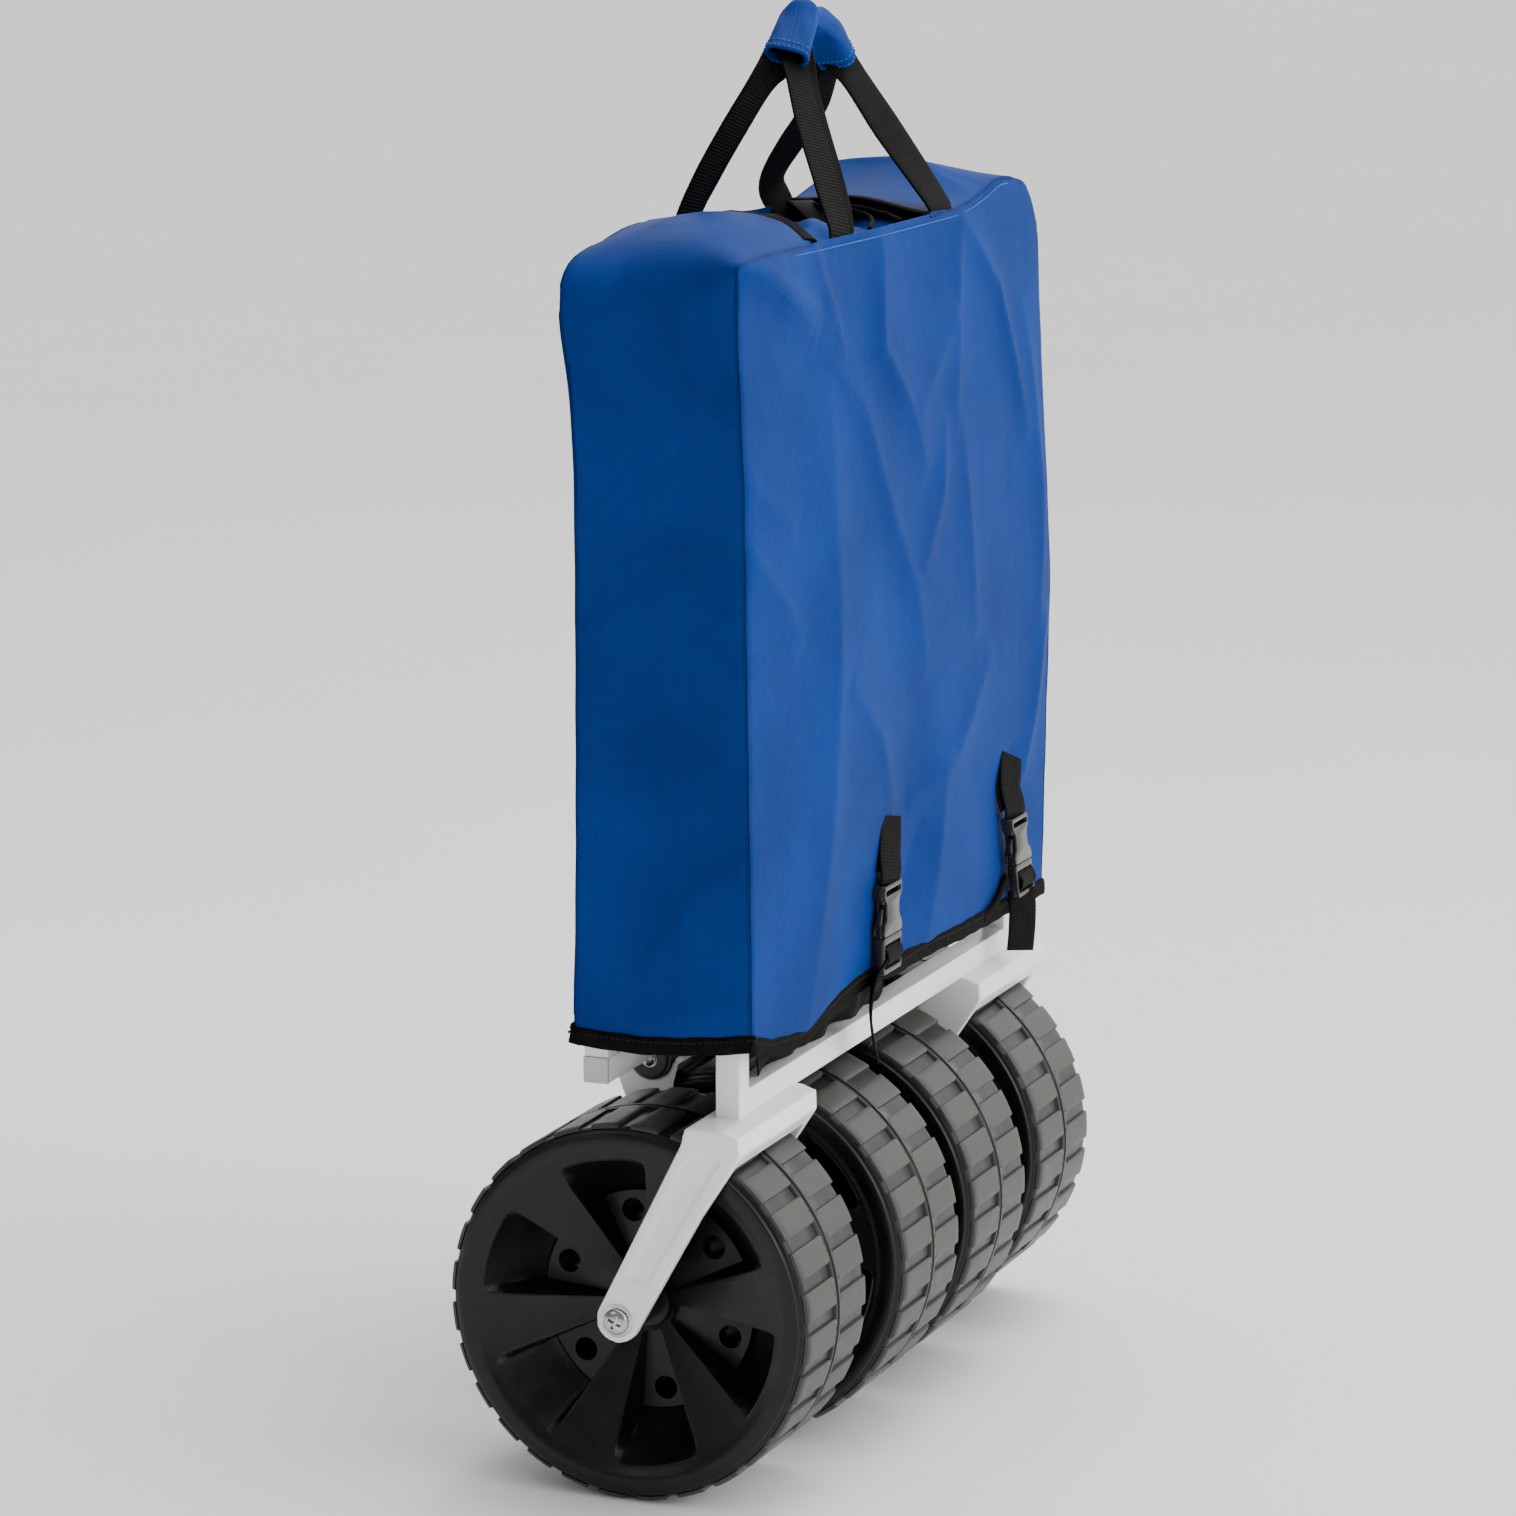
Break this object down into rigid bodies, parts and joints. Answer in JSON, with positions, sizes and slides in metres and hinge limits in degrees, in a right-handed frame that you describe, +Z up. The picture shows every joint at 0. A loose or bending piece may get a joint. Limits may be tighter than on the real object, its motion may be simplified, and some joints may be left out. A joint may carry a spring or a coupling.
{
  "type": "beach cart",
  "caption": "Folding beach cart with balloon wheels, folded upright inside a fabric storage cover with carry handles and buckles.",
  "frame": {"origin": "on the floor under the folded cart, midway between the rear and the front wheel axles and midway across the cart", "axes": "+Z up, +X towards the rear frame with the fixed forks, Y along the wheel axles, so the open cart is pulled along -X"},
  "size_m": [0.247, 0.5672, 0.902],
  "materials": {
    "frame_powder_coat": "light grey powder coat, satin",
    "zinc_steel": "zinc plated, satin",
    "wheel_plastic": "moulded polyethylene, matt",
    "black_plastic": "moulded, fine texture",
    "buckle_plastic": "moulded acetal, satin",
    "cover_canvas": "coated woven polyester, royal blue",
    "black_webbing": "ribbed polypropylene webbing",
    "black_binding": "woven binding tape",
    "tub_canvas": "coated woven polyester, royal blue"
  },
  "bodies": {
    "rear_frame": {"rear_post_left": "frame_powder_coat", "rear_post_right": "frame_powder_coat", "rear_bottom_rail": "frame_powder_coat", "rear_top_rail": "frame_powder_coat", "rear_post_caps": "black_plastic", "rear_fork_left": "frame_powder_coat", "rear_fork_right": "frame_powder_coat", "rear_axles": "zinc_steel", "rear_axle_nuts": "zinc_steel", "rear_foot_pins": "zinc_steel", "wagon_tub": "tub_canvas"},
    "front_frame": {"front_post_left": "frame_powder_coat", "front_post_right": "frame_powder_coat", "front_bottom_rail": "frame_powder_coat", "front_top_rail": "frame_powder_coat", "front_frame_caps": "black_plastic", "caster_housings": "black_plastic", "handle_bracket": "frame_powder_coat", "front_frame_pins": "zinc_steel"},
    "rear_lift": {"rear_lift_bars": "frame_powder_coat", "rear_scissor_pins": "zinc_steel"},
    "rear_cross": {"rear_cross_bars": "frame_powder_coat"},
    "front_lift": {"front_lift_bars": "frame_powder_coat", "front_scissor_pins": "zinc_steel"},
    "front_cross": {"front_cross_bars": "frame_powder_coat"},
    "rear_slide": {"rear_sliders": "black_plastic"},
    "front_slide": {"front_sliders": "black_plastic"},
    "pull_handle": {"handle_outer_tube": "frame_powder_coat", "handle_collar": "black_plastic"},
    "handle_stage": {"handle_inner_tube": "zinc_steel", "handle_grip": "black_plastic"},
    "storage_cover": {"cover_left_end": "cover_canvas", "cover_right_end": "cover_canvas", "cover_front_panel": "cover_canvas", "cover_back_panel": "cover_canvas", "cover_top_flaps": "cover_canvas", "cover_hem_binding": "black_binding", "carry_strap_front": "black_webbing", "carry_strap_back": "black_webbing", "carry_grip": "cover_canvas", "buckle_sockets": "buckle_plastic", "buckle_webbing": "black_webbing"},
    "plug_middle": {"buckle_plug_middle": "buckle_plastic", "buckle_tail_middle": "black_webbing"},
    "plug_right": {"buckle_plug_right": "buckle_plastic", "buckle_tail_right": "black_webbing"},
    "caster_left": {"caster_fork_left": "frame_powder_coat", "caster_boss_left": "black_plastic", "caster_axle_left": "zinc_steel"},
    "rear_left_wheel": {"rear_wheel_left": "wheel_plastic", "rear_wheel_bushes_left": "black_plastic"},
    "front_left_wheel": {"front_wheel_left": "wheel_plastic", "front_wheel_bushes_left": "black_plastic"},
    "caster_right": {"caster_fork_right": "frame_powder_coat", "caster_boss_right": "black_plastic", "caster_axle_right": "zinc_steel"},
    "rear_right_wheel": {"rear_wheel_right": "wheel_plastic", "rear_wheel_bushes_right": "black_plastic"},
    "front_right_wheel": {"front_wheel_right": "wheel_plastic", "front_wheel_bushes_right": "black_plastic"}
  },
  "joints": [
    {"name": "unfold", "type": "slide", "parent": "rear_frame", "child": "front_frame", "axis": [-1, 0, 0], "range_m": [0, 0.66], "deforming": ["cover_left_end", "cover_right_end", "cover_front_panel", "cover_back_panel", "cover_top_flaps", "cover_hem_binding", "carry_strap_front", "carry_strap_back", "wagon_tub"]},
    {"name": "rear_lift_fold", "type": "hinge", "parent": "rear_frame", "child": "rear_lift", "pos_m": [0.0565, 0, 0.292], "axis": [0, -1, 0], "range_deg": [0, 58.15]},
    {"name": "rear_cross_fold", "type": "hinge", "parent": "rear_lift", "child": "rear_cross", "pos_m": [0.03475, 0, 0.49836], "axis": [0, -1, 0], "range_deg": [-116.3, 0]},
    {"name": "front_lift_fold", "type": "hinge", "parent": "front_frame", "child": "front_lift", "pos_m": [-0.0305, 0, 0.292], "axis": [0, -1, 0], "range_deg": [-58.15, 0]},
    {"name": "front_cross_fold", "type": "hinge", "parent": "front_lift", "child": "front_cross", "pos_m": [-0.00875, 0, 0.49836], "axis": [0, -1, 0], "range_deg": [0, 116.3]},
    {"name": "rear_slider_drop", "type": "slide", "parent": "rear_frame", "child": "rear_slide", "axis": [0, 0, -1], "range_m": [0, 0.23192]},
    {"name": "front_slider_drop", "type": "slide", "parent": "front_frame", "child": "front_slide", "axis": [0, 0, -1], "range_m": [0, 0.23192]},
    {"name": "handle_tilt", "type": "hinge", "parent": "front_frame", "child": "pull_handle", "pos_m": [-0.0305, 0, 0.292], "axis": [0, -1, 0], "range_deg": [0, 78]},
    {"name": "handle_extend", "type": "slide", "parent": "pull_handle", "child": "handle_stage", "axis": [0, 0, 1], "range_m": [0, 0.28]},
    {"name": "cover_off", "type": "slide", "parent": "rear_frame", "child": "storage_cover", "axis": [0, 0, 1], "range_m": [0, 0.52]},
    {"name": "buckle_middle_release", "type": "slide", "parent": "storage_cover", "child": "plug_middle", "axis": [0, 0, -1], "range_m": [0, 0.03]},
    {"name": "buckle_right_release", "type": "slide", "parent": "storage_cover", "child": "plug_right", "axis": [0, 0, -1], "range_m": [0, 0.03]},
    {"name": "rear_left_wheel_spin", "type": "hinge", "parent": "rear_frame", "child": "rear_left_wheel", "pos_m": [-0.0035, -0.214, 0.12], "axis": [0, 1, 0], "continuous": true},
    {"name": "caster_left_swivel", "type": "hinge", "parent": "front_frame", "child": "caster_left", "pos_m": [-0.049, -0.0645, 0.26], "axis": [0, 0, 1], "range_deg": [-3, 3]},
    {"name": "front_left_wheel_spin", "type": "hinge", "parent": "caster_left", "child": "front_left_wheel", "pos_m": [0.0035, -0.0645, 0.12], "axis": [0, 1, 0], "continuous": true},
    {"name": "rear_right_wheel_spin", "type": "hinge", "parent": "rear_frame", "child": "rear_right_wheel", "pos_m": [-0.0035, 0.214, 0.12], "axis": [0, 1, 0], "continuous": true},
    {"name": "caster_right_swivel", "type": "hinge", "parent": "front_frame", "child": "caster_right", "pos_m": [-0.049, 0.0645, 0.26], "axis": [0, 0, 1], "range_deg": [-3, 3]},
    {"name": "front_right_wheel_spin", "type": "hinge", "parent": "caster_right", "child": "front_right_wheel", "pos_m": [0.0035, 0.0645, 0.12], "axis": [0, 1, 0], "continuous": true}
  ],
  "couplings": [
    {"joint": "rear_lift_fold", "follows": "unfold", "rad_per_m": 1.5375},
    {"joint": "rear_cross_fold", "follows": "unfold", "rad_per_m": -3.075},
    {"joint": "front_lift_fold", "follows": "unfold", "rad_per_m": -1.5375},
    {"joint": "front_cross_fold", "follows": "unfold", "rad_per_m": 3.075},
    {"joint": "rear_slider_drop", "follows": "unfold", "ratio": 0.35124},
    {"joint": "front_slider_drop", "follows": "unfold", "ratio": 0.35124},
    {"joint": "handle_tilt", "follows": "unfold", "rad_per_m": 2.0627},
    {"joint": "handle_extend", "follows": "unfold", "ratio": 0.42424},
    {"joint": "cover_off", "follows": "unfold", "ratio": 0.78788}
  ]
}
